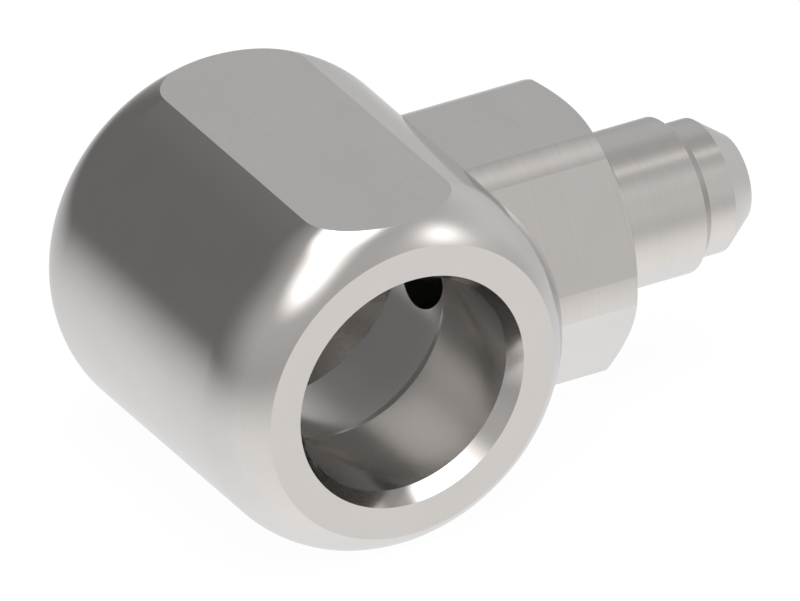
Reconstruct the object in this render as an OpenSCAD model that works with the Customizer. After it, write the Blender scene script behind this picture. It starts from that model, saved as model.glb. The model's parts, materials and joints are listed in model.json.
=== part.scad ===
// Body of an eye type swivel fitting, turned and milled from one piece of steel
// X runs along the bore of the eye, Y along the stem, and Z through the wrench flats
// The origin is where the bore's axis and the stem's axis cross, and all sizes are in millimetres

/* [Eye head] */
// Turned diameter of the head
head_d = 35; // [33:0.1:38]
// Length of the head between its two ring faces
head_len = 37; // [34:0.1:42]
// Depth of each wrench flat below the turned diameter
flat_depth = 1.5; // [0.8:0.1:2.5]
// Radius of the round shoulder that runs from the head's band to each ring face
shoulder_r = 7.8; // [7:0.1:10]
// Width of the flat ring face round each mouth of the bore
ring_w = 3; // [2:0.1:4]

/* [Bore and groove] */
// Diameter of the bore that turns on the hollow bolt
bore_d = 20.6; // [19:0.1:22.4]
// Width of the chamfer at each mouth of the bore, measured along the radius
mouth_w = 0.9; // [0.4:0.1:1.4]
// Angle between the mouth chamfer and the bore's axis
mouth_angle = 30; // [20:1:45]
// Depth of the ring groove below the wall of the bore
groove_depth = 1.3; // [0.8:0.1:1.8]
// Width of the groove's floor
groove_floor_w = 8; // [7.8:0.1:10]
// Width of the groove where its sloping walls meet the bore
groove_mouth_w = 12.3; // [11:0.1:15]

/* [Hexagon] */
// Distance across the flats of the hexagon
hex_af = 24; // [22:0.1:26]
// How much is turned off each corner, measured along the radius
corner_cut = 0.75; // [0.4:0.05:1.2]
// Length of the hexagon past the head's turned diameter
hex_len = 9; // [6:0.1:14]
// How far the round end face stays inside the hexagon's flats
end_face_inset = 0.3; // [0.1:0.05:0.8]
// Angle between the hexagon's end chamfer and its end face
end_chamfer_angle = 30; // [15:1:45]

/* [Stem and sealing cone] */
// Outer diameter of the stem that carries the nut
stem_d = 14.1; // [12.5:0.1:17]
// Length of the stem from the hexagon to the foot of its end chamfer
stem_len = 10.65; // [8:0.05:16]
// Step from the stem down to the nose, measured along the radius
stem_step = 1; // [0.6:0.05:1.2]
// Angle between the stem's end chamfer and its axis
stem_chamfer_angle = 45; // [30:1:60]
// Length of the cylindrical nose between the stem and the cone
nose_len = 2.5; // [1:0.05:5]
// Half angle of the sealing cone
cone_angle = 37; // [25:0.5:45]

/* [Flow passage] */
// Diameter of the passage from the groove to the tip of the cone
passage_d = 7.5; // [5:0.1:7.7]
// Width of the ring that is left round the passage at the tip
tip_w = 0.25; // [0.15:0.05:0.6]

/* [Hidden] */
$fn = 120;

// How far a cutting shape runs past the face that it opens
cut_over = 1;
// Number of flats on the hexagon
hex_sides = 6;

// Head
head_r = head_d / 2;
head_half = head_len / 2;
flat_h = head_r - flat_depth;
bore_r = bore_d / 2;
mouth_r = bore_r + mouth_w;
ring_r = mouth_r + ring_w;
// The shoulder's arc starts square on the band and is cut off at the ring face
shoulder_axis_r = head_r - shoulder_r;
shoulder_run = sqrt(pow(shoulder_r, 2) - pow(ring_r - shoulder_axis_r, 2));
band_half = head_half - shoulder_run;

// Bore and groove
mouth_depth = mouth_w / tan(mouth_angle);
groove_r = bore_r + groove_depth;
cutter_half = head_half + cut_over;
cutter_r = mouth_r + cut_over * tan(mouth_angle);

// Hexagon
hex_corner_r = hex_af / 2 / cos(180 / hex_sides);
turned_corner_r = hex_corner_r - corner_cut;
end_face_r = hex_af / 2 - end_face_inset;
hex_end = head_r + hex_len;
corner_end = hex_end - (turned_corner_r - end_face_r) * tan(end_chamfer_angle);

// Stem, nose and cone
stem_r = stem_d / 2;
nose_r = stem_r - stem_step;
stem_end = hex_end + stem_len;
thread_end = stem_end - stem_step / tan(stem_chamfer_angle);
nose_end = stem_end + nose_len;
passage_r = passage_d / 2;
tip_r = passage_r + tip_w;
tip_end = nose_end + (nose_r - tip_r) / tan(cone_angle);

// Turns a profile round the bore's axis: its first coordinate is the radius
module turned_on_bore() {
    rotate([0, 90, 0])
        rotate_extrude()
            children();
}

// Turns a profile round the stem's axis, with the head's centre at its start
module turned_on_stem() {
    rotate([-90, 0, 0])
        rotate_extrude()
            children();
}

// Half outline of the head: a straight band between two round shoulders
module head_profile() {
    intersection() {
        union() {
            translate([0, -head_half])
                square([shoulder_axis_r, head_len]);
            translate([0, -band_half])
                square([head_r, 2 * band_half]);
            for (side = [-1, 1])
                translate([shoulder_axis_r, side * band_half])
                    circle(r = shoulder_r);
        }
        translate([0, -head_half])
            square([head_r, head_len]);
    }
}

// Head as turned, with its two wrench flats milled parallel
module eye_head() {
    intersection() {
        turned_on_bore() head_profile();
        cube([head_len + 2 * cut_over, head_d + 2 * cut_over, 2 * flat_h], center = true);
    }
}

// Hexagon with turned corners and a chamfered end, two of its flats parallel to the wrench flats
module hexagon() {
    intersection() {
        rotate([-90, 0, 0])
            linear_extrude(height = hex_end)
                circle(r = hex_corner_r, $fn = hex_sides);
        turned_on_stem()
            polygon([
                [0, 0],
                [turned_corner_r, 0],
                [turned_corner_r, corner_end],
                [end_face_r, hex_end],
                [0, hex_end]
            ]);
    }
}

// Stem, nose and sealing cone in one turned outline
module stem() {
    turned_on_stem()
        polygon([
            [0, 0],
            [stem_r, 0],
            [stem_r, thread_end],
            [nose_r, stem_end],
            [nose_r, nose_end],
            [tip_r, tip_end],
            [0, tip_end]
        ]);
}

// Through bore with its two mouth chamfers and the ring groove in its middle
module bore_cut() {
    turned_on_bore()
        polygon([
            [0, -cutter_half],
            [cutter_r, -cutter_half],
            [bore_r, mouth_depth - head_half],
            [bore_r, -groove_mouth_w / 2],
            [groove_r, -groove_floor_w / 2],
            [groove_r, groove_floor_w / 2],
            [bore_r, groove_mouth_w / 2],
            [bore_r, head_half - mouth_depth],
            [cutter_r, cutter_half],
            [0, cutter_half]
        ]);
}

// Passage drilled along the stem until it breaks into the groove
module passage_cut() {
    rotate([-90, 0, 0])
        cylinder(h = tip_end + cut_over, r = passage_r);
}

module fitting_body() {
    color([0.72, 0.71, 0.69])
        difference() {
            union() {
                eye_head();
                hexagon();
                stem();
            }
            bore_cut();
            passage_cut();
        }
}

fitting_body();
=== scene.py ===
"""Looks, stage and camera for the steel body of an eye type swivel fitting.

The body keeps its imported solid. Its steel shows how each surface was cut: turned round the bore, turned
round the stem, or milled flat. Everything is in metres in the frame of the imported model: +X along the
bore, +Y along the stem and +Z out of the upper wrench flat.
"""

import json
import logging
import math
from dataclasses import dataclass
from enum import Enum
from typing import Any, Union

import bmesh
import bpy
from mathutils import Matrix, Vector

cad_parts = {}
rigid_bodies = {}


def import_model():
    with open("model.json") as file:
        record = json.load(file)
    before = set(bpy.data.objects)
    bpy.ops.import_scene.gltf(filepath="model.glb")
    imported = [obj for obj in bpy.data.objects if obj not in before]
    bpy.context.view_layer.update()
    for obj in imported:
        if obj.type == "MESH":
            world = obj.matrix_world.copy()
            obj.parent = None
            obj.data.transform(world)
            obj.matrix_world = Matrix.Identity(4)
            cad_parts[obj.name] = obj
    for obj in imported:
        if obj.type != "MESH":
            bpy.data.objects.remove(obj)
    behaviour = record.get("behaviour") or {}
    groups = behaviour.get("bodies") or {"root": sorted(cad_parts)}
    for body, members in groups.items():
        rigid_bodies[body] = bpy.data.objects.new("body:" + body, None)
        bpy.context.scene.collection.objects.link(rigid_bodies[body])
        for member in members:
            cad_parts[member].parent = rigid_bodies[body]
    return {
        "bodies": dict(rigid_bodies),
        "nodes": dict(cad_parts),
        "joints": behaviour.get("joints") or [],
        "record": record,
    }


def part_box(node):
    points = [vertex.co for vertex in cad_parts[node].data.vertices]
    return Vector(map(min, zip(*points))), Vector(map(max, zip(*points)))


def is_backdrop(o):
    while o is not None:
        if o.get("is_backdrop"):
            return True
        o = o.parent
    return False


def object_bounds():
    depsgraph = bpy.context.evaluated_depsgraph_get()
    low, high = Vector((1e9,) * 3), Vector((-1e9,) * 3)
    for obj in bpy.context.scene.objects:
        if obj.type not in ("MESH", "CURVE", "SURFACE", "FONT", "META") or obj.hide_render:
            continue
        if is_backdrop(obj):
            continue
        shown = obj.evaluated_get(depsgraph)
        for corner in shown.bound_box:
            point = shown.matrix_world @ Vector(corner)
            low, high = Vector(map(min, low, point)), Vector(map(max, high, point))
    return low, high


LOG = logging.getLogger("swivel_fitting")
MM = 0.001
MM_PER_M = 1000.0
DEGREES_PER_RADIAN = math.degrees(1.0)
NOISE_MEAN = 0.5
BELL_EXPONENT = -0.5
WHITE = (1.0, 1.0, 1.0, 1.0)
Operand = Union["Value", float]
Direction = Union["Value", tuple[float, float, float]]
Colour = tuple[float, float, float]


# Node building


class Value:
    """The output of a node, with arithmetic that adds Math nodes to the same tree."""

    def __init__(self, tree: "NodeTree", socket: bpy.types.NodeSocket) -> None:
        """Keeps a socket and its tree.

        Args:
            tree: The tree that new Math nodes go into.
            socket: The output that this value stands for.
        """
        self.tree = tree
        self.socket = socket

    def math(self, operation: str, *others: Operand) -> "Value":
        """Adds one Math node that starts from this value.

        Args:
            operation: The Math node's operation.
            others: Its further inputs, as values or numbers.

        Returns:
            The node's result.
        """
        return self.tree.math(operation, self, *others)

    def __add__(self, other: Operand) -> "Value":
        """This value plus another."""
        return self.math("ADD", other)

    __radd__ = __add__

    def __sub__(self, other: Operand) -> "Value":
        """This value less another."""
        return self.math("SUBTRACT", other)

    def __rsub__(self, other: Operand) -> "Value":
        """Another value less this one."""
        return self.tree.math("SUBTRACT", other, self)

    def __mul__(self, other: Operand) -> "Value":
        """This value times another."""
        return self.math("MULTIPLY", other)

    __rmul__ = __mul__

    def __truediv__(self, other: Operand) -> "Value":
        """This value divided by another."""
        return self.math("DIVIDE", other)

    def __rtruediv__(self, other: Operand) -> "Value":
        """Another value divided by this one."""
        return self.tree.math("DIVIDE", other, self)

    def __abs__(self) -> "Value":
        """This value without its sign."""
        return self.math("ABSOLUTE")

    def above(self, level: float) -> "Value":
        """One where this value is over a level, and zero elsewhere."""
        return self.math("GREATER_THAN", level)

    def below(self, level: float) -> "Value":
        """One where this value is under a level, and zero elsewhere."""
        return self.math("LESS_THAN", level)

    def smooth_rise(self, start: float, end: float) -> "Value":
        """A smooth rise from zero at start to one at end.

        Args:
            start: The value where the rise begins.
            end: The value where it is complete. It may be the lower of the two.

        Returns:
            The share, from zero to one.
        """
        low, high = min(start, end), max(start, end)
        share = self.tree.add(
            "ShaderNodeMapRange",
            {"interpolation_type": "SMOOTHSTEP"},
            {"Value": self, "From Min": low, "From Max": high, "To Min": 0.0, "To Max": 1.0},
        ).outputs["Result"]
        rise = Value(self.tree, share)
        return rise if start < end else 1.0 - rise


class NodeTree:
    """Adds nodes to one tree, for a material or for the world."""

    def __init__(self, tree: bpy.types.NodeTree) -> None:
        """Empties a tree and keeps it.

        Args:
            tree: The node tree of a material or of the world.
        """
        self.tree = tree
        self.tree.nodes.clear()

    def add(self, kind: str, settings: dict[str, Any], sockets: dict[str, Any]) -> bpy.types.Node:
        """Adds one node.

        Args:
            kind: The node's type name.
            settings: The node's own properties, which are set first.
            sockets: Numbers, tuples, values or output sockets for its inputs, by name or by index.

        Returns:
            The new node.
        """
        node = self.tree.nodes.new(kind)
        for name, setting in settings.items():
            setattr(node, name, setting)
        for name, source in sockets.items():
            entry = node.inputs[name] if isinstance(name, int) else self.enabled(node.inputs, name)
            if isinstance(source, Value):
                self.tree.links.new(source.socket, entry)
            elif isinstance(source, bpy.types.NodeSocket):
                self.tree.links.new(source, entry)
            else:
                entry.default_value = source
        return node

    @staticmethod
    def enabled(sockets: Any, name: str) -> bpy.types.NodeSocket:
        """The socket of that name which the node's settings have in use."""
        return next(socket for socket in sockets if socket.name == name and socket.enabled)

    def value(self, node: bpy.types.Node, output: str) -> Value:
        """One of a node's outputs as a value."""
        return Value(self, self.enabled(node.outputs, output))

    def math(self, operation: str, *operands: Operand) -> Value:
        """Adds one Math node.

        Args:
            operation: The Math node's operation.
            operands: Its inputs in order, as values or numbers.

        Returns:
            The node's result.
        """
        sockets = dict(enumerate(operands))
        return self.value(self.add("ShaderNodeMath", {"operation": operation}, sockets), "Value")

    def blend(self, start: Operand, end: Operand, share: Operand) -> Value:
        """A number that goes from start to end as a share goes from zero to one."""
        return start + share * (end - start)

    def vector_math(self, operation: str, sockets: dict[Any, Any]) -> Value:
        """Adds one Vector Math node.

        Args:
            operation: The node's operation.
            sockets: Its inputs by name or by index.

        Returns:
            The resulting vector, or the number where the operation gives one.
        """
        node = self.add("ShaderNodeVectorMath", {"operation": operation}, sockets)
        return Value(self, next(output for output in node.outputs if output.enabled))

    def combine(self, x: Operand, y: Operand, z: Operand) -> Value:
        """Three numbers as one vector."""
        return self.value(self.add("ShaderNodeCombineXYZ", {}, {"X": x, "Y": y, "Z": z}), "Vector")

    def separate(self, vector: Value) -> tuple[Value, Value, Value]:
        """The three parts of a vector."""
        node = self.add("ShaderNodeSeparateXYZ", {}, {"Vector": vector})
        return self.value(node, "X"), self.value(node, "Y"), self.value(node, "Z")

    def mix(self, kind: str, share: Operand, first: Any, second: Any) -> Value:
        """Mixes two colours or two vectors.

        Args:
            kind: RGBA for colours or VECTOR for vectors.
            share: How much of the second one shows, from zero to one.
            first: The colour or vector at a share of zero.
            second: The colour or vector at a share of one.

        Returns:
            The mixture.
        """
        node = self.add("ShaderNodeMix", {"data_type": kind}, {"Factor": share, "A": first, "B": second})
        return self.value(node, "Result")

    def noise(self, vector: Value, scale: float, detail: float = 2.0, roughness: float = 0.5) -> Value:
        """Adds a Noise Texture and centres it.

        Args:
            vector: Where the noise is read.
            scale: How many waves there are to one unit of the vector.
            detail: How many finer layers it has.
            roughness: How strong the finer layers are.

        Returns:
            The noise, from minus a half to a half with a mean of zero.
        """
        sockets = {"Vector": vector, "Scale": scale, "Detail": detail, "Roughness": roughness}
        node = self.add("ShaderNodeTexNoise", {"noise_dimensions": "3D"}, sockets)
        return self.value(node, "Fac") - NOISE_MEAN


# The fitting's steel


class Cut(Enum):
    """How a surface of the fitting was cut."""

    ROUND_BORE = "turned round the axis of the bore"
    ROUND_STEM = "turned round the axis of the stem"
    DRILLED = "drilled down the stem"
    BORED = "bored out and rubbed by the bolt"
    GROOVED = "grooved inside the bore"
    MOUTH = "chamfered at the bore's mouths"
    WRENCH_FLAT = "milled along the head"
    HEX_FLAT = "milled across the hexagon"


@dataclass(frozen=True)
class CutMarks:
    """The fine marks that one way of cutting leaves.

    Args:
        spacing_mm: Distance from one mark to the next.
        height_mm: Height of the marks.
        roughness: Roughness of the steel between them.
        film: Share of the surface that scatters light as a dried film of oil does.
    """

    spacing_mm: float
    height_mm: float
    roughness: float
    film: float = 0.0


@dataclass(frozen=True)
class Spot:
    """One point of the fitting as its steel sees it, in millimetres.

    Args:
        x: Its place along the bore.
        y: Its place along the stem.
        z: Its height over the bore's axis.
        bore_r: Its distance from the bore's axis.
        stem_r: Its distance from the stem's axis.
        skin: The way to it from the line that the shoulder's arc is turned round, which points
            straight out of the head.
        skin_r: Its distance from that line.
    """

    x: Value
    y: Value
    z: Value
    bore_r: Value
    stem_r: Value
    skin: Value
    skin_r: Value


@dataclass(frozen=True)
class Zone:
    """The surfaces that were cut in one way.

    Args:
        cut: The way of cutting.
        mask: One on these surfaces, and zero on those of the zones before it.
        lines: A point's distance across the marks and along them, in millimetres.
        around: The way round the axis of turning, which has no length on a milled flat.
    """

    cut: Cut
    mask: Operand
    lines: Value
    around: Direction


@dataclass(frozen=True)
class SteelFinish:
    """Bare carbon steel, finely machined, under a thin dried film of protective oil.

    Args:
        name: The material's name.
        bright: Linear colour of the steel where it is cleanest.
        dull: Linear colour under the clouds of the film.
        bored: Linear colour of the wall inside the bore, darker and warmer than the rest of the steel:
            painted shade for the recess and a painted warm reflection.
        grazing: Tint of the reflection at a low angle.
        clouds_mm: Width of the clouds in the film.
        cloud_levels: Levels of the cloud pattern where the film begins and where it is full.
        cloud_layers: How many finer layers the clouds have.
        cloud_rough: How far the clouds change the roughness, from the clearest to the thickest.
        streaks_mm: Width of the broader streaks among the marks.
        streak_rough: How far the streaks change the roughness.
        mark_grain: How strong the finest of the marks are, from zero to one.
        mark_shade: How far the marks change the steel's brightness, as a share of it.
        mark_rough: How far the marks change the roughness.
        marks: The marks of each way of cutting.
    """

    name: str = "machined_steel"
    bright: Colour = (0.695, 0.683, 0.668)
    dull: Colour = (0.680, 0.668, 0.652)
    # The bore's colour is darker and warmer than the steel elsewhere: painted shade for the recess and a
    # painted warm reflection.
    bored: Colour = (0.668, 0.648, 0.627)
    grazing: Colour = (0.91, 0.91, 0.91)
    clouds_mm: float = 6.2
    cloud_levels: tuple[float, float] = (-0.15, 0.25)
    cloud_layers: float = 3.0
    cloud_rough: float = 0.05
    streaks_mm: float = 0.9
    streak_rough: float = 0.03
    mark_grain: float = 0.6
    mark_shade: float = 0.10
    mark_rough: float = 0.08
    marks: tuple[tuple[Cut, CutMarks], ...] = (
        (Cut.ROUND_BORE, CutMarks(spacing_mm=0.11, height_mm=0.0006, roughness=0.13)),
        (Cut.ROUND_STEM, CutMarks(spacing_mm=0.09, height_mm=0.0006, roughness=0.14)),
        (Cut.DRILLED, CutMarks(spacing_mm=0.22, height_mm=0.001, roughness=0.19)),
        (Cut.MOUTH, CutMarks(spacing_mm=0.11, height_mm=0.0001, roughness=0.12)),
        (Cut.BORED, CutMarks(spacing_mm=0.13, height_mm=0.00002, roughness=0.17, film=0.11)),
        (Cut.GROOVED, CutMarks(spacing_mm=0.13, height_mm=0.00002, roughness=0.16, film=0.03)),
        (Cut.WRENCH_FLAT, CutMarks(spacing_mm=0.16, height_mm=0.0009, roughness=0.16)),
        (Cut.HEX_FLAT, CutMarks(spacing_mm=0.14, height_mm=0.0008, roughness=0.16)),
    )


@dataclass
class FittingBody:
    """The one-piece body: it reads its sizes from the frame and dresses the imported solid.

    Args:
        node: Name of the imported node.
        head_r: Radius of the head as turned.
        head_half: Half the length of the head.
        flat_h: Height of the wrench flats over the bore's axis.
        bore_r: Radius of the bore.
        passage_r: Radius of the flow passage.
        hex_half: Half the distance across the hexagon's flats.
        shoulder: Radius of the head's round shoulders.
        ring_width: Width of the flat ring face round each mouth of the bore.
        groove_depth: Depth of the ring groove below the wall of the bore.
        mouth_width: Width of the chamfer at the bore's mouths, along the radius.
        mouth_depth: Depth of that chamfer, along the bore.
        hex_tilt: Degrees from the horizontal to a line square to the hexagon's sloping flats.
        stroke_stretch: Length of a milling mark over its width.
        clearance: How far from a surface a mask still takes in its points.
        skin_clearance: The same under the head's skin, where the flat triangles dip most.
        face_clearance: The same at the ring faces, which the skin meets at an edge.
    """

    node: str
    head_r: float
    head_half: float
    flat_h: float
    bore_r: float
    passage_r: float
    hex_half: float
    shoulder: float = 7.8
    ring_width: float = 3.0
    groove_depth: float = 1.3
    mouth_width: float = 0.9
    mouth_depth: float = 1.56
    hex_tilt: float = 30.0
    stroke_stretch: float = 50.0
    clearance: float = 0.02
    skin_clearance: float = 0.05
    face_clearance: float = 0.005

    @classmethod
    def from_frame(cls, frame: dict[str, Any], node: str) -> "FittingBody":
        """Reads the fitting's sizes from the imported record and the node's box.

        Args:
            node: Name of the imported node.

        Returns:
            The body, with its sizes in millimetres.
        """
        mounts = {mount["name"]: mount for mount in frame["record"]["mounts"]}
        low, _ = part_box(node)
        return cls(
            node=node,
            head_r=-low.y * MM_PER_M,
            head_half=-low.x * MM_PER_M,
            flat_h=mounts["wrench_flat_upper"]["pos_m"][2] * MM_PER_M,
            bore_r=mounts["eye_bore"]["dims"]["r_mm"],
            passage_r=mounts["flow_passage"]["dims"]["r_mm"],
            hex_half=mounts["hexagon_flat"]["pos_m"][2] * MM_PER_M,
        )

    def dress(self, frame: dict[str, Any], finish: SteelFinish) -> bpy.types.Object:
        """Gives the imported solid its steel.

        Args:
            finish: The steel to use.

        Returns:
            The dressed object.
        """
        body = frame["nodes"][self.node]
        steel = self.steel(finish)
        body.data.materials.clear()
        body.data.materials.append(steel)
        return body

    def spot(self, tree: NodeTree, place: Value) -> Spot:
        """Measures a point from the fitting's axes.

        Args:
            tree: The steel's tree.
            place: The point, in millimetres.

        Returns:
            The point with its distances.
        """
        x, y, z = tree.separate(place)
        bore_r = (y * y + z * z).math("SQRT")
        stem_r = (x * x + z * z).math("SQRT")
        arc_axis_r = self.head_r - self.shoulder
        ring_r = self.bore_r + self.mouth_width + self.ring_width
        arc_run = math.sqrt(self.shoulder**2 - (ring_r - arc_axis_r) ** 2)
        band_half = self.head_half - arc_run
        side = x - x.math("MINIMUM", band_half).math("MAXIMUM", -band_half)
        lift = bore_r - arc_axis_r
        skin = tree.combine(side, y * lift / bore_r, z * lift / bore_r)
        return Spot(x, y, z, bore_r, stem_r, skin, (side * side + lift * lift).math("SQRT"))

    def zones(self, tree: NodeTree, spot: Spot) -> tuple[Zone, ...]:
        """Tells the ways of cutting apart by where a point lies.

        Args:
            tree: The steel's tree.
            spot: The point.

        Returns:
            The zones, each of which is cut over the ones before it.
        """
        x, y, z, bore_r, stem_r = spot.x, spot.y, spot.z, spot.bore_r, spot.stem_r
        in_mouth = bore_r.below(self.bore_r + self.mouth_width)
        groove_r = self.bore_r + self.groove_depth + self.clearance
        in_bore = bore_r.below(groove_r) * abs(x).below(self.head_half - self.mouth_depth)
        in_groove = in_bore * bore_r.above(self.bore_r + self.clearance)
        past_head = spot.skin_r.above(self.shoulder + self.clearance)
        in_passage = stem_r.below(self.passage_r + self.clearance) * y.above(self.bore_r + self.clearance)
        tilt = math.radians(self.hex_tilt)
        sloping = abs(x) * math.cos(tilt) + abs(z) * math.sin(tilt)
        on_hexagon = abs(z).math("MAXIMUM", sloping).above(self.hex_half - self.clearance)
        on_wrench_flat = abs(z).above(self.flat_h - self.clearance)
        stroke = 1.0 / self.stroke_stretch
        rings = tree.combine(x, bore_r, 0.0)
        stem_rings = tree.combine(y, stem_r, 0.0)
        round_bore = tree.combine(0.0, -1.0 * z / bore_r, y / bore_r)
        round_stem = tree.combine(z / stem_r, 0.0, -1.0 * x / stem_r)
        everywhere, flat = 1.0, (0.0, 0.0, 0.0)
        return (
            Zone(Cut.ROUND_BORE, everywhere, rings, round_bore),
            Zone(Cut.MOUTH, in_mouth, rings, round_bore),
            Zone(Cut.BORED, in_bore * (1.0 - in_groove), rings, round_bore),
            Zone(Cut.GROOVED, in_groove, rings, round_bore),
            Zone(Cut.ROUND_STEM, past_head, stem_rings, round_stem),
            Zone(Cut.DRILLED, in_passage, stem_rings, round_stem),
            Zone(Cut.WRENCH_FLAT, on_wrench_flat, tree.combine(y, stroke * x, 0.0), flat),
            Zone(Cut.HEX_FLAT, past_head * on_hexagon, tree.combine(y, stroke * stem_r, 0.0), flat),
        )

    def true_round(self, tree: NodeTree, spot: Spot, faceted: Value, around: Value) -> Value:
        """Straightens the normal, so that a turned surface shows neither its triangles nor a seam.

        Args:
            tree: The steel's tree.
            spot: The point.
            faceted: The normal that the mesh has there.
            around: The way round the axis of turning.

        Returns:
            The normal of the round surface, and on a milled flat that of the mesh.
        """
        slant = tree.vector_math("DOT_PRODUCT", {0: faceted, 1: around})
        straight = tree.vector_math("MULTIPLY_ADD", {0: around, 1: -1.0 * slant, 2: faceted})
        near = spot.skin_r.above(self.shoulder - self.skin_clearance)
        near = near * spot.skin_r.below(self.shoulder + self.clearance)
        near = near * abs(spot.x).below(self.head_half - self.face_clearance)
        on_skin = near * abs(spot.z).below(self.flat_h - self.clearance)
        return tree.vector_math("NORMALIZE", {0: tree.mix("VECTOR", on_skin, straight, spot.skin)})

    def steel(self, finish: SteelFinish) -> bpy.types.Material:
        """Builds the steel with its cutting marks.

        Args:
            finish: The steel to build.

        Returns:
            The material.
        """
        material = bpy.data.materials.new(finish.name)
        material.use_nodes = True
        tree = NodeTree(material.node_tree)
        coordinates = tree.add("ShaderNodeTexCoord", {}, {})
        place = tree.vector_math("SCALE", {0: tree.value(coordinates, "Object"), "Scale": MM_PER_M})
        spot = self.spot(tree, place)

        marks = dict(finish.marks)
        first, *later = self.zones(tree, spot)
        lines: Value = first.lines
        around: Direction = first.around
        spacing: Operand = marks[first.cut].spacing_mm
        height: Operand = marks[first.cut].height_mm
        rough: Operand = marks[first.cut].roughness
        film: Operand = marks[first.cut].film
        for zone in later:
            lines = tree.mix("VECTOR", zone.mask, lines, zone.lines)
            around = tree.mix("VECTOR", zone.mask, around, zone.around)
            spacing = tree.blend(spacing, marks[zone.cut].spacing_mm, zone.mask)
            height = tree.blend(height, marks[zone.cut].height_mm, zone.mask)
            rough = tree.blend(rough, marks[zone.cut].roughness, zone.mask)
            film = tree.blend(film, marks[zone.cut].film, zone.mask)
        # This mask marks the wall inside the bore, where the colour below is darkened and warmed as
        # painted shade and a painted warm reflection.
        bored = next(zone.mask for zone in later if zone.cut is Cut.BORED)

        spaced = tree.vector_math("SCALE", {0: lines, "Scale": 1.0 / spacing})
        fine = tree.noise(spaced, 1.0, roughness=finish.mark_grain)
        streaks = tree.noise(lines, 1.0 / finish.streaks_mm)
        clouds = tree.noise(place, 1.0 / finish.clouds_mm, detail=finish.cloud_layers)
        dulled = clouds.smooth_rise(*finish.cloud_levels)
        colour = tree.mix("RGBA", dulled, (*finish.bright, 1.0), (*finish.dull, 1.0))
        # Inside the bore the colour turns darker and warmer: painted shade and a painted warm reflection.
        colour = tree.mix("RGBA", bored, colour, (*finish.bored, 1.0))
        colour = tree.vector_math("SCALE", {0: colour, "Scale": 1.0 + fine * finish.mark_shade})
        rough = rough + clouds * finish.cloud_rough + streaks * finish.streak_rough
        rough = rough + fine * finish.mark_rough
        normal = self.true_round(tree, spot, tree.value(coordinates, "Normal"), around)
        # The height is in metres, so the bump's distance is one
        relief = {"Height": fine * height * MM, "Distance": 1.0, "Normal": normal}
        bump = tree.add("ShaderNodeBump", {}, relief)
        shader = tree.add(
            "ShaderNodeBsdfPrincipled",
            {},
            {
                "Base Color": colour,
                "Metallic": 1.0 - film,
                "Roughness": rough,
                "Specular Tint": (*finish.grazing, 1.0),
                "Normal": bump.outputs["Normal"],
            },
        )
        tree.add("ShaderNodeOutputMaterial", {}, {"Surface": shader.outputs["BSDF"]})
        return material


# The studio


@dataclass(frozen=True)
class SoftLamp:
    """A small round lamp with a soft edge.

    Args:
        level: Brightness at its middle, where one is white.
        turn: Heading in degrees from +X towards +Y.
        rise: Degrees over the horizon.
        spread: Degrees from its middle to where it has faded to three fifths.
    """

    level: float
    turn: float
    rise: float
    spread: float


@dataclass(frozen=True)
class SoftBox:
    """A tall soft box that leans over the object.

    Args:
        level: Its brightness, where one is white.
        turn: Heading of its middle in degrees from +X towards +Y.
        aside: Distance to the side where it has faded out, and where it is full.
        height: Degrees over the horizon where it begins, and where it is full.
    """

    level: float
    turn: float
    aside: tuple[float, float]
    height: tuple[float, float]


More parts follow.
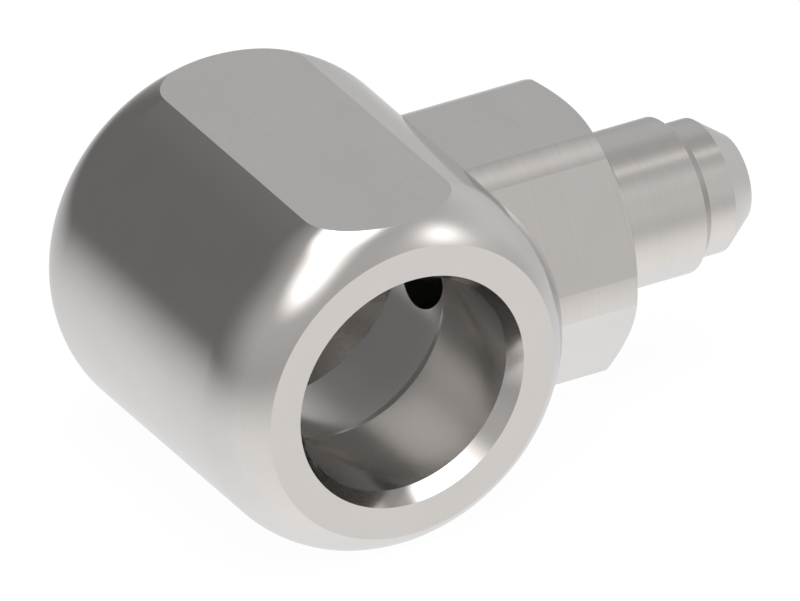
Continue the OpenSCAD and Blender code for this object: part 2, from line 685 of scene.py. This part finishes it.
@dataclass(frozen=True)
class StudioLight:
    """Brightness of the studio, where one is white, and the headings where it changes.

    A pair gives the degrees where a change begins and where it is complete.

    Args:
        floor: The floor straight below.
        ceiling: The soft ceiling.
        dark_wall: The unlit wall on the far side of the head.
        right_wall: The wall on the camera's right.
        back_wall: The wall past the stem.
        corner: The corner between that wall and the unlit one.
        upper_wall: The lit walls just under the ceiling.
        upper_dark: The unlit wall just under the ceiling.
        foot_shade: Share of its light that a lit wall loses at its foot.
        far_shade: Brightness that a lit wall loses high up, on its far half.
        lit_from: Turn from the unlit wall to the wall on the right.
        lit_until: Turn from the unlit wall back to the corner.
        spill_until: The same for the light that spills on the floor.
        past_stem: Turn from the wall on the right to the wall past the stem.
        round_corner: Turn from that wall to the corner.
        foot: Height from a wall's middle down to its foot.
        near_shade: Brightness that the wall past the stem loses low down, on its near side.
        near_from: Turn where that shade begins.
        near_until: Turn where it ends.
        near_height: Height where it begins on the way down.
        far_half: Turn from its near half to its far half.
        far_height: Height where its far half gets darker.
        lit_top: Height from a lit wall's middle to its top.
        dark_top: The same for the unlit wall.
        ceiling_edge: Height from the walls to the ceiling.
        floor_edges: Degrees below the horizon where the floor begins, unlit and lit.
        floor_fade: How many degrees lower the floor has most of its brightness.
        floor_shade: Share of its light that the floor loses deep down on the side past the head.
        shade_side: Part of the heading along +Y where that shade begins, and where it is full.
        shade_depth: Height where it begins, and where it is full.
        join: How softly the walls meet the floor.
        cool: Colour of the light from the unlit side.
        floor_cool: Colour of the floor there.
        floor_cool_from: Height where the walls' colour turns into the floor's.
        warm: Colour of the light from the right and from high up.
        warm_from: Turn where the warm light begins.
        warm_until: Turn where it ends.
        warm_top: Height where it begins all round.
        key: The tall soft box.
        lamps: The small lamps.
    """

    floor: float = 1.045
    ceiling: float = 2.6
    dark_wall: float = 0.149
    right_wall: float = 0.526
    back_wall: float = 0.763
    corner: float = 0.705
    upper_wall: float = 0.494
    upper_dark: float = 0.437
    foot_shade: float = 0.135
    far_shade: float = 0.07
    lit_from: tuple[float, float] = (-137.0, -68.0)
    lit_until: tuple[float, float] = (183.0, 141.5)
    spill_until: tuple[float, float] = (140.0, 90.0)
    past_stem: tuple[float, float] = (5.0, 37.5)
    round_corner: tuple[float, float] = (135.5, 143.5)
    foot: tuple[float, float] = (25.0, -5.0)
    near_shade: float = 0.09
    near_from: tuple[float, float] = (34.0, 58.0)
    near_until: tuple[float, float] = (97.0, 74.0)
    near_height: tuple[float, float] = (22.0, 7.0)
    far_half: tuple[float, float] = (72.0, 112.0)
    far_height: tuple[float, float] = (40.0, 55.0)
    lit_top: tuple[float, float] = (-1.5, 65.5)
    dark_top: tuple[float, float] = (32.5, 74.0)
    ceiling_edge: tuple[float, float] = (63.5, 78.0)
    floor_edges: tuple[float, float] = (3.9, 0.0)
    floor_fade: float = 17.7
    floor_shade: float = 0.045
    shade_side: tuple[float, float] = (0.0, -0.5)
    shade_depth: tuple[float, float] = (-32.0, -48.0)
    join: float = 0.5
    cool: Colour = (1.014, 1.0, 0.998)
    floor_cool: Colour = (1.004, 1.0, 1.006)
    floor_cool_from: tuple[float, float] = (-6.0, -20.0)
    warm: Colour = (1.033, 1.0, 0.985)
    warm_from: tuple[float, float] = (-120.0, -60.0)
    warm_until: tuple[float, float] = (80.0, 40.0)
    warm_top: tuple[float, float] = (40.0, 58.0)
    key: SoftBox = SoftBox(level=2.6, turn=-47.0, aside=(0.45, -0.02), height=(23.0, 51.5))
    lamps: tuple[SoftLamp, ...] = (
        SoftLamp(level=1.14, turn=55.7, rise=35.2, spread=7.5),
        SoftLamp(level=0.55, turn=72.3, rise=69.5, spread=4.2),
    )


@dataclass(frozen=True)
class PaleFloor:
    """The plain floor under the part.

    Args:
        radius: Its radius.
        corners: How many corners its round edge has.
        gap: How far it lies below the part, so that they share no face.
        colour: Linear colour of its matt surface, which keeps the shadow.
        glow: Brightness of the white that the camera sees on it.
        white: Share of that white in what the camera sees.
    """

    radius: float = 2.0
    corners: int = 96
    gap: float = 0.00002
    colour: Colour = (0.9, 0.9, 0.9)
    glow: float = 1.05
    white: float = 0.9


class Studio:
    """A plain pale floor in a soft white studio."""

    def __init__(self, light: StudioLight, floor: PaleFloor, lowest: float) -> None:
        """Keeps what the studio is made of.

        Args:
            light: The light levels.
            floor: The floor.
            lowest: Height of the part's lowest point.
        """
        self.light = light
        self.floor = floor
        self.lowest = lowest

    def build(self) -> None:
        """Makes the world and the floor."""
        self.make_world()
        self.make_floor()

    def walls(self, tree: NodeTree, turn: Value, height: Value, lit: Value) -> Value:
        """Brightness of the walls.

        Args:
            tree: The world's tree.
            turn: Heading in degrees from +X towards +Y.
            height: Degrees over the horizon.
            lit: Share of the lit walls, which is zero on the unlit one.

        Returns:
            The walls' brightness.
        """
        light = self.light
        lit_wall = tree.blend(light.right_wall, light.back_wall, turn.smooth_rise(*light.past_stem))
        lit_wall = tree.blend(lit_wall, light.corner, turn.smooth_rise(*light.round_corner))
        lit_wall = lit_wall * (1.0 - light.foot_shade * height.smooth_rise(*light.foot))
        lit_wall = tree.blend(lit_wall, light.upper_wall, height.smooth_rise(*light.lit_top))
        near = turn.smooth_rise(*light.near_from) * turn.smooth_rise(*light.near_until)
        lit_wall = lit_wall - light.near_shade * near * height.smooth_rise(*light.near_height)
        far = turn.smooth_rise(*light.far_half) * height.smooth_rise(*light.far_height)
        lit_wall = lit_wall - light.far_shade * far
        dark_wall = tree.blend(light.dark_wall, light.upper_dark, height.smooth_rise(*light.dark_top))
        return tree.blend(dark_wall, lit_wall, lit)

    def floor_glow(self, tree: NodeTree, y: Value, height: Value, spill: Value) -> Value:
        """Brightness of the floor, which fades towards the horizon.

        Args:
            tree: The world's tree.
            y: The heading's part along +Y.
            height: Degrees over the horizon.
            spill: Share of the light that the lit walls spill on the floor.

        Returns:
            The floor's brightness, which is zero over the horizon.
        """
        light = self.light
        edge = tree.blend(*light.floor_edges, spill)
        depth = (height + edge).math("MINIMUM", 0.0)
        shade = light.floor_shade * y.smooth_rise(*light.shade_side)
        shade = shade * height.smooth_rise(*light.shade_depth)
        return light.floor * (1.0 - shade) * (1.0 - (depth / light.floor_fade).math("EXPONENT"))

    def key_share(self, x: Value, y: Value, height: Value) -> Value:
        """Where the tall soft box stands, from zero to one.

        Args:
            x: The heading's part along +X.
            y: The heading's part along +Y.
            height: Degrees over the horizon.

        Returns:
            The soft box's share.
        """
        key = self.light.key
        turn = math.radians(key.turn)
        aside = abs(x * -math.sin(turn) + y * math.cos(turn))
        ahead = (x * math.cos(turn) + y * math.sin(turn)).above(0.0)
        return aside.smooth_rise(*key.aside) * height.smooth_rise(*key.height) * ahead

    @staticmethod
    def lamp_glow(lamp: SoftLamp, x: Value, y: Value, z: Value) -> Value:
        """Brightness of a small round lamp with its soft edge.

        Args:
            lamp: The lamp.
            x: The heading's part along +X.
            y: The heading's part along +Y.
            z: The heading's part along +Z.

        Returns:
            The lamp's brightness.
        """
        turn, rise = math.radians(lamp.turn), math.radians(lamp.rise)
        way = (math.cos(rise) * math.cos(turn), math.cos(rise) * math.sin(turn), math.sin(rise))
        off = (x * way[0] + y * way[1] + z * way[2]).math("ARCCOSINE") * DEGREES_PER_RADIAN
        return lamp.level * (off * off * (BELL_EXPONENT / lamp.spread**2)).math("EXPONENT")

    def make_world(self) -> None:
        """Makes the soft studio that lights the object, and the white that the camera sees."""
        light = self.light
        world = bpy.data.worlds.new("soft_studio")
        bpy.context.scene.world = world
        world.use_nodes = True
        tree = NodeTree(world.node_tree)
        heading = tree.value(tree.add("ShaderNodeTexCoord", {}, {}), "Generated")
        x, y, z = tree.separate(tree.vector_math("NORMALIZE", {0: heading}))
        height = z.math("ARCSINE") * DEGREES_PER_RADIAN
        turn = y.math("ARCTAN2", x) * DEGREES_PER_RADIAN

        lit_from = turn.smooth_rise(*light.lit_from)
        room = self.walls(tree, turn, height, lit_from * turn.smooth_rise(*light.lit_until))
        floor = self.floor_glow(tree, y, height, lit_from * turn.smooth_rise(*light.spill_until))
        room = room.math("SMOOTH_MAX", floor, light.join)
        room = tree.blend(room, light.key.level, self.key_share(x, y, height))
        room = tree.blend(room, light.ceiling, height.smooth_rise(*light.ceiling_edge))
        for lamp in light.lamps:
            room = room + self.lamp_glow(lamp, x, y, z)

        warm = turn.smooth_rise(*light.warm_from) * turn.smooth_rise(*light.warm_until)
        warm = warm.math("MAXIMUM", height.smooth_rise(*light.warm_top))
        low = height.smooth_rise(*light.floor_cool_from)
        tint = tree.mix("RGBA", low, (*light.cool, 1.0), (*light.floor_cool, 1.0))
        tint = tree.mix("RGBA", warm, tint, (*light.warm, 1.0))
        studio = tree.add("ShaderNodeBackground", {}, {"Color": tint, "Strength": room})
        white = tree.add("ShaderNodeBackground", {}, {"Color": WHITE, "Strength": 1.0})
        rays = tree.add("ShaderNodeLightPath", {}, {})
        seen = tree.value(rays, "Is Camera Ray").math("MAXIMUM", tree.value(rays, "Is Transmission Ray"))
        shader = tree.add(
            "ShaderNodeMixShader",
            {},
            {0: seen, 1: studio.outputs["Background"], 2: white.outputs["Background"]},
        )
        tree.add("ShaderNodeOutputWorld", {}, {"Surface": shader.outputs["Shader"]})

    def make_floor(self) -> None:
        """Makes the pale floor that keeps the object's shadow."""
        mesh = bpy.data.meshes.new("studio_floor")
        floor = bpy.data.objects.new("studio_floor", mesh)
        bpy.context.scene.collection.objects.link(floor)
        shape = bmesh.new()
        size = {"segments": self.floor.corners, "radius": self.floor.radius}
        bmesh.ops.create_circle(shape, cap_ends=True, cap_tris=False, **size)
        bmesh.ops.translate(shape, verts=shape.verts[:], vec=(0.0, 0.0, self.lowest - self.floor.gap))
        shape.to_mesh(mesh)
        shape.free()
        floor.visible_glossy = False
        material = bpy.data.materials.new("pale_floor")
        material.use_nodes = True
        tree = NodeTree(material.node_tree)
        matt = tree.add("ShaderNodeBsdfDiffuse", {}, {"Color": (*self.floor.colour, 1.0)})
        glow = tree.add("ShaderNodeEmission", {}, {"Color": WHITE, "Strength": self.floor.glow})
        seen = tree.value(tree.add("ShaderNodeLightPath", {}, {}), "Is Camera Ray")
        shader = tree.add(
            "ShaderNodeMixShader",
            {},
            {0: self.floor.white * seen, 1: matt.outputs["BSDF"], 2: glow.outputs["Emission"]},
        )
        tree.add("ShaderNodeOutputMaterial", {}, {"Surface": shader.outputs["Shader"]})
        mesh.materials.append(material)
        floor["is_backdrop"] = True


# The camera


@dataclass(frozen=True)
class Viewpoint:
    """A camera with parallel projection at the picture's angle.

    Args:
        azimuth: Turn of the camera round the part, in degrees, from where it looks along +Y.
        elevation: Height over the horizon, in degrees.
        mm_per_pixel: Size of one pixel at the object.
        width_px: Width of the picture.
        right_px: How far the picture's middle is right of the frame's origin.
        down_px: How far it is below the frame's origin.
        distance: Distance to the camera.
        reach: Nearest and farthest distance that it sees.
    """

    azimuth: float = 60.0
    elevation: float = 30.0
    mm_per_pixel: float = 0.08673
    width_px: int = 800
    right_px: float = 94.4
    down_px: float = 0.9
    distance: float = 0.4
    reach: tuple[float, float] = (0.001, 100.0)

    def place(self) -> bpy.types.Object:
        """Makes the camera and puts it in use.

        Returns:
            The camera.
        """
        turn, rise = math.radians(self.azimuth), math.radians(self.elevation)
        back = Vector((math.sin(turn) * math.cos(rise), -math.cos(turn) * math.cos(rise), math.sin(rise)))
        facing = (-back).to_track_quat("-Z", "Y")
        pixel = self.mm_per_pixel * MM
        middle = facing @ Vector((self.right_px * pixel, -self.down_px * pixel, 0.0))
        lens = bpy.data.cameras.new("camera")
        lens.type = "ORTHO"
        lens.ortho_scale = self.width_px * pixel
        lens.clip_start, lens.clip_end = self.reach
        camera = bpy.data.objects.new("camera", lens)
        bpy.context.scene.collection.objects.link(camera)
        position = Matrix.Translation(middle + back * self.distance)
        camera.matrix_world = position @ facing.to_matrix().to_4x4()
        bpy.context.scene.camera = camera
        return camera


def main() -> None:
    """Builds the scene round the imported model."""
    logging.basicConfig(level=logging.INFO, format="%(name)s: %(message)s")
    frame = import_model()
    cad_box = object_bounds()
    bpy.context.scene.view_settings.view_transform = "Standard"

    fitting = FittingBody.from_frame(frame, "fitting_body")
    body = fitting.dress(frame, SteelFinish())
    LOG.info("dressed %s with %d faces", body.name, len(body.data.polygons))

    Studio(StudioLight(), PaleFloor(), lowest=cad_box[0].z).build()
    LOG.info("studio ready")
    camera = Viewpoint().place()
    LOG.info("camera at %s", tuple(round(part, 4) for part in camera.location))


if __name__ == "__main__":
    main()
